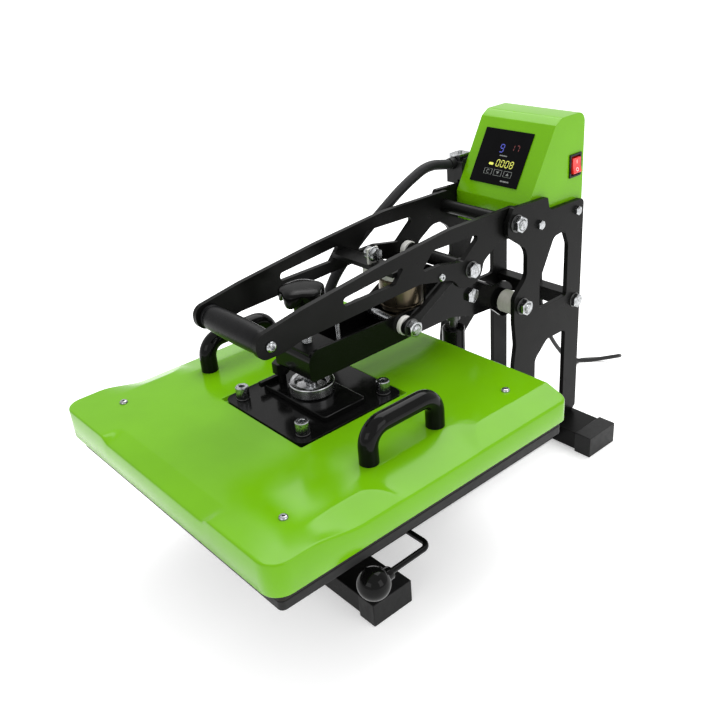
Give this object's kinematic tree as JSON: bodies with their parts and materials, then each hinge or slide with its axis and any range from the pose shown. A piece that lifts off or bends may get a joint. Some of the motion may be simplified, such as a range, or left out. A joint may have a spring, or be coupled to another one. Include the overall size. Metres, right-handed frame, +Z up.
{
  "type": "auto-open heat press",
  "caption": "Clamshell heat press with a square heated upper platen, toggle handle, gas-spring auto-open lower arm, pressure knob and rear control box with display.",
  "frame": {"origin": "on the table, under the middle of the whole press without its power cord", "axes": "+Z up, +X to the operator's right, -Y towards the operator"},
  "size_m": [0.4489, 0.7804, 0.4285],
  "materials": {
    "black_powder_coat": "satin powder coat",
    "black_coated_aluminium": "black coated",
    "green_powder_coat": "gloss powder coat",
    "bright_zinc": "bright zinc plate",
    "plain_steel": "ground",
    "cast_aluminium": "machined",
    "silicone_black": "matte",
    "insulation_fibre": "felted",
    "heater_sheath": "oxidised",
    "black_handle_plastic": "gloss",
    "black_grip_rubber": "matte",
    "black_cap_plastic": "grained",
    "grey_bush_plastic": "turned",
    "display_black": "gloss",
    "board_green": "solder mask",
    "switch_black": "gloss",
    "switch_red": "gloss",
    "lead_sleeve": "matte",
    "cord_black": "matte",
    "magnet_bronze": "passivated"
  },
  "bodies": {
    "base": {"front_crossbar": "black_powder_coat", "rear_crossbar": "black_powder_coat", "crossbar_end_caps": "black_cap_plastic", "base_rails": "black_powder_coat", "pedestal": "black_powder_coat", "platen_mount_plate": "black_powder_coat", "lower_platen": "black_coated_aluminium", "silicone_pad": "silicone_black", "left_upright": "black_powder_coat", "right_upright": "black_powder_coat", "rear_cross_tube": "black_powder_coat", "upright_screws": "bright_zinc", "handle_pivot_bolt": "bright_zinc", "arm_pivot_bolt": "bright_zinc", "arm_pivot_bushes": "grey_bush_plastic", "gas_spring_bracket": "black_powder_coat", "control_box": "green_powder_coat", "control_box_back": "black_powder_coat", "display_panel": "display_black", "control_electronics": "board_green", "rocker_switch_body": "switch_black", "cord_gland": "black_cap_plastic", "heater_connector": "black_cap_plastic", "heater_hose": "lead_sleeve", "power_cord": "cord_black", "power_cord_coil": "cord_black", "power_plug": "cord_black"},
    "lower_arm": {"lower_arm": "black_powder_coat", "threaded_block": "black_powder_coat", "link_pin": "bright_zinc", "electromagnet": "magnet_bronze", "lower_arm_bolts": "bright_zinc"},
    "upper_platen": {"heat_platen": "cast_aluminium", "heating_element": "heater_sheath", "overheat_cutout": "plain_steel", "insulation_board": "insulation_fibre", "upper_platen_cover": "green_powder_coat", "mounting_plate": "black_powder_coat", "swivel_plate": "black_powder_coat", "mounting_plate_bolts": "bright_zinc", "cover_screws": "bright_zinc", "swivel_collar": "bright_zinc", "guide_post": "black_powder_coat", "side_handles": "black_handle_plastic"},
    "pressure_screw": {"pressure_screw": "bright_zinc", "pressure_knob": "black_handle_plastic"},
    "handle": {"left_handle_arm": "black_powder_coat", "right_handle_arm": "black_powder_coat", "handle_pivot_tube": "black_powder_coat", "handle_grip": "black_grip_rubber", "grip_bar": "bright_zinc", "arm_cross_plate": "black_powder_coat", "magnet_keeper": "bright_zinc", "toggle_bolts": "bright_zinc"},
    "toggle_links": {"toggle_links": "black_powder_coat"},
    "gas_spring_cylinder": {"gas_spring_cylinder": "black_powder_coat"},
    "gas_spring_rod": {"gas_spring_rod": "plain_steel"},
    "rocker": {"rocker_switch": "switch_red"},
    "lock_lever": {"lock_lever": "black_powder_coat", "lever_ball": "black_handle_plastic"}
  },
  "joints": [
    {"name": "arm_lift", "type": "hinge", "parent": "base", "child": "lower_arm", "pos_m": [-0.00925, 0.1785, 0.221], "axis": [-1, 0, 0], "range_deg": [0, 40], "deforming": ["heater_hose"]},
    {"name": "handle_lift", "type": "hinge", "parent": "base", "child": "handle", "pos_m": [-0.00925, 0.167, 0.328], "axis": [-1, 0, 0], "range_deg": [0, 102.8]},
    {"name": "link_turn", "type": "hinge", "parent": "lower_arm", "child": "toggle_links", "pos_m": [-0.00925, 0.0145, 0.247], "axis": [1, 0, 0], "range_deg": [0, 48.5]},
    {"name": "gas_spring_tilt", "type": "hinge", "parent": "base", "child": "gas_spring_cylinder", "pos_m": [-0.00925, 0.1245, 0.048], "axis": [-1, 0, 0], "range_deg": [0, 7.4]},
    {"name": "gas_spring_stroke", "type": "slide", "parent": "gas_spring_cylinder", "child": "gas_spring_rod", "axis": [0, 0, 1], "range_m": [0, 0.0313]},
    {"name": "platen_height", "type": "slide", "parent": "lower_arm", "child": "upper_platen", "axis": [0, 0, 1], "range_m": [0, 0.006]},
    {"name": "knob_turn", "type": "hinge", "parent": "upper_platen", "child": "pressure_screw", "pos_m": [-0.00925, -0.0965, 0.3], "axis": [0, 0, 1], "range_deg": [0, 721]},
    {"name": "rocker_flip", "type": "hinge", "parent": "base", "child": "rocker", "pos_m": [0.03975, 0.2815, 0.3676], "axis": [0, 1, 0], "range_deg": [0, 14]},
    {"name": "lock_lever_turn", "type": "hinge", "parent": "base", "child": "lock_lever", "pos_m": [-0.00925, -0.1225, 0.116], "axis": [1, 0, 0], "range_deg": [0, 75]}
  ],
  "couplings": [
    {"joint": "handle_lift", "follows": "arm_lift", "ratio": 2.5587},
    {"joint": "link_turn", "follows": "arm_lift", "ratio": 1.2005},
    {"joint": "gas_spring_tilt", "follows": "arm_lift", "ratio": 0.17687},
    {"joint": "gas_spring_stroke", "follows": "arm_lift", "m_per_rad": 0.044161},
    {"joint": "knob_turn", "follows": "platen_height", "rad_per_m": 2094.4}
  ]
}
